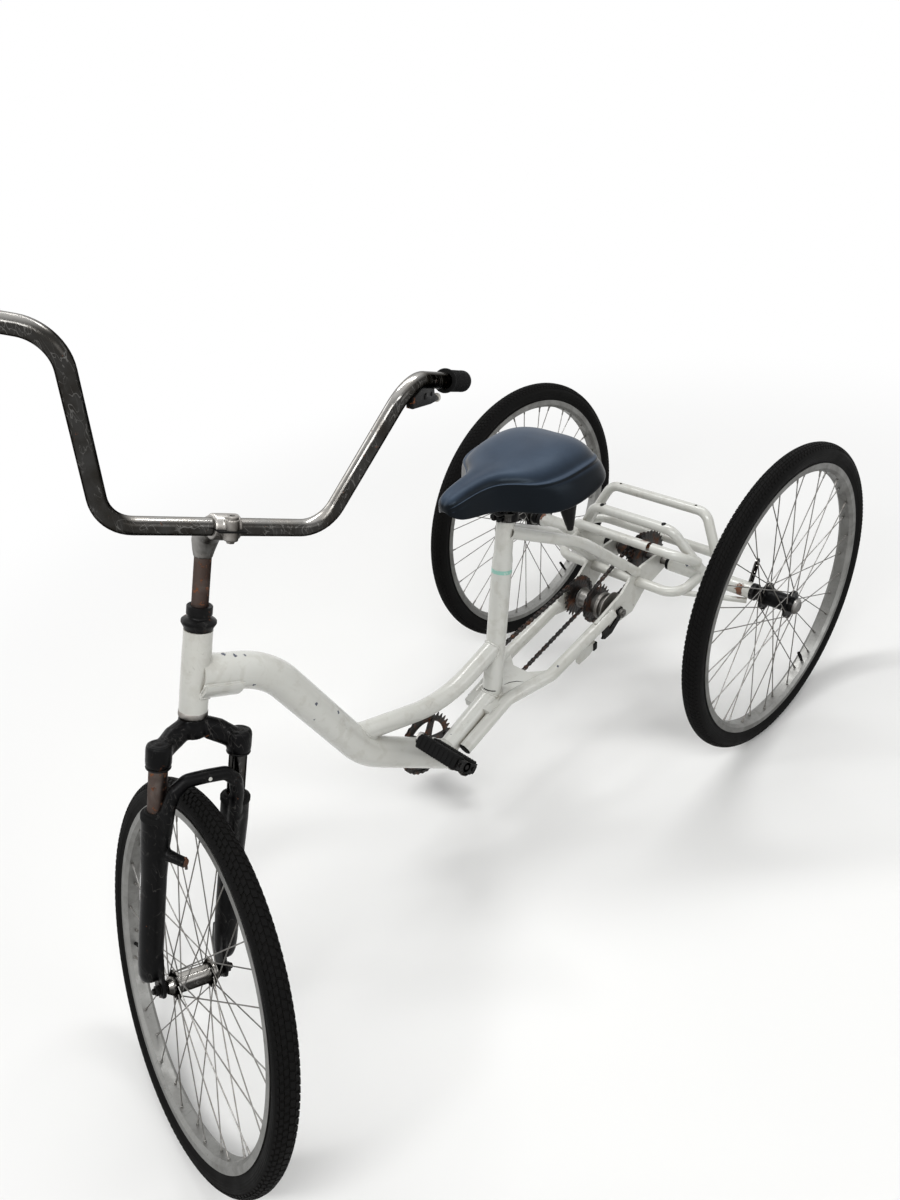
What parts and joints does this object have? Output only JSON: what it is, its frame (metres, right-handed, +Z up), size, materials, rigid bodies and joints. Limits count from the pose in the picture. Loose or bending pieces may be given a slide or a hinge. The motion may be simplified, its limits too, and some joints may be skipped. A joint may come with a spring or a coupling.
{
  "type": "tricycle",
  "caption": "Worn adult step-through tricycle: one steered front wheel on a black suspension fork, high chrome handlebar, broad saddle, chain drive to a rear axle between two spoked wheels.",
  "frame": {"origin": "on the floor, in the middle of the box around the whole", "axes": "+X to the rider's left, +Y backwards, +Z up; the frame's middle plane is X = 0"},
  "size_m": [0.7766, 1.7919, 1.4062],
  "materials": {
    "frame_paint": "glossy, worn",
    "black_paint": "satin",
    "black_steel": "satin",
    "chrome": "dull chrome",
    "bare_steel": "dull",
    "rusty_steel": "rusty",
    "rim_alloy": "satin",
    "tyre_rubber": "matt",
    "grip_rubber": "matt",
    "pedal_plastic": "matt",
    "saddle_vinyl": "satin black vinyl"
  },
  "bodies": {
    "frame": {"head_tube": "frame_paint", "headset_cups": "black_steel", "main_tube": "frame_paint", "head_gusset": "frame_paint", "upper_tube": "frame_paint", "seat_tube": "frame_paint", "bottom_bracket_shell": "frame_paint", "bottom_bracket_cups": "bare_steel", "lower_link": "frame_paint", "chainstays": "frame_paint", "seatstays": "frame_paint", "stay_plates": "frame_paint", "stay_yoke": "frame_paint", "base_loops": "frame_paint", "rack_hoops": "frame_paint", "cross_tube": "frame_paint", "axle_housings": "frame_paint", "axle_bearings": "black_steel", "housing_braces": "frame_paint", "fender_tabs": "chrome", "seat_post": "chrome", "saddle": "saddle_vinyl", "saddle_frame": "black_steel", "hub_axle": "bare_steel", "reaction_arm": "black_steel", "primary_chain": "rusty_steel", "secondary_chain": "rusty_steel"},
    "steering": {"fork_crown": "black_paint", "fork_stanchions": "chrome", "fork_lowers": "black_paint", "headset_top": "black_steel", "stem": "chrome", "handlebar": "chrome", "grips": "grip_rubber", "brake_lever": "black_steel", "front_axle": "bare_steel"},
    "front_wheel": {"front_tyre": "tyre_rubber", "front_rim": "rim_alloy", "front_hub": "chrome", "front_spokes": "bare_steel"},
    "rear_left_wheel": {"rear_left_tyre": "tyre_rubber", "rear_left_rim": "rim_alloy", "rear_left_hub": "black_paint", "rear_left_spokes": "bare_steel", "rear_axle": "bare_steel", "freewheel_cluster": "rusty_steel"},
    "rear_right_wheel": {"rear_right_tyre": "tyre_rubber", "rear_right_rim": "rim_alloy", "rear_right_hub": "black_paint", "rear_right_spokes": "bare_steel"},
    "crank": {"crankset": "chrome", "chainring": "rusty_steel", "pedal_spindles": "bare_steel"},
    "left_pedal": {"left_pedal": "pedal_plastic"},
    "right_pedal": {"right_pedal": "pedal_plastic"},
    "hub_shell": {"hub_shell": "bare_steel"},
    "hub_sprocket": {"hub_sprocket": "rusty_steel"}
  },
  "joints": [
    {"name": "steering", "type": "hinge", "parent": "frame", "child": "steering", "pos_m": [0, -0.73, 0.2955], "axis": [0, 0.4337, 0.9011], "range_deg": [-173, 7]},
    {"name": "front_wheel_spin", "type": "hinge", "parent": "steering", "child": "front_wheel", "pos_m": [0.06402, -0.73708, 0.29891], "axis": [0.1219, 0.8944, -0.4304], "continuous": true},
    {"name": "rear_left_spin", "type": "hinge", "parent": "frame", "child": "rear_left_wheel", "pos_m": [0, 0.568, 0.329], "axis": [1, 0, 0], "continuous": true},
    {"name": "rear_right_spin", "type": "hinge", "parent": "frame", "child": "rear_right_wheel", "pos_m": [0, 0.568, 0.329], "axis": [1, 0, 0], "continuous": true},
    {"name": "crank_turn", "type": "hinge", "parent": "frame", "child": "crank", "pos_m": [0, -0.104, 0.24], "axis": [1, 0, 0], "continuous": true},
    {"name": "left_pedal_turn", "type": "hinge", "parent": "crank", "child": "left_pedal", "pos_m": [0, -0.18642, 0.38869], "axis": [1, 0, 0], "continuous": true},
    {"name": "right_pedal_turn", "type": "hinge", "parent": "crank", "child": "right_pedal", "pos_m": [0, -0.02158, 0.09131], "axis": [1, 0, 0], "continuous": true},
    {"name": "hub_sprocket_turn", "type": "hinge", "parent": "frame", "child": "hub_sprocket", "pos_m": [0, 0.403, 0.291], "axis": [1, 0, 0], "continuous": true},
    {"name": "hub_shell_turn", "type": "hinge", "parent": "frame", "child": "hub_shell", "pos_m": [0, 0.403, 0.291], "axis": [1, 0, 0], "continuous": true}
  ],
  "couplings": [
    {"joint": "hub_sprocket_turn", "follows": "crank_turn", "ratio": 1.5},
    {"joint": "hub_shell_turn", "follows": "rear_left_spin", "ratio": 1.0476}
  ]
}
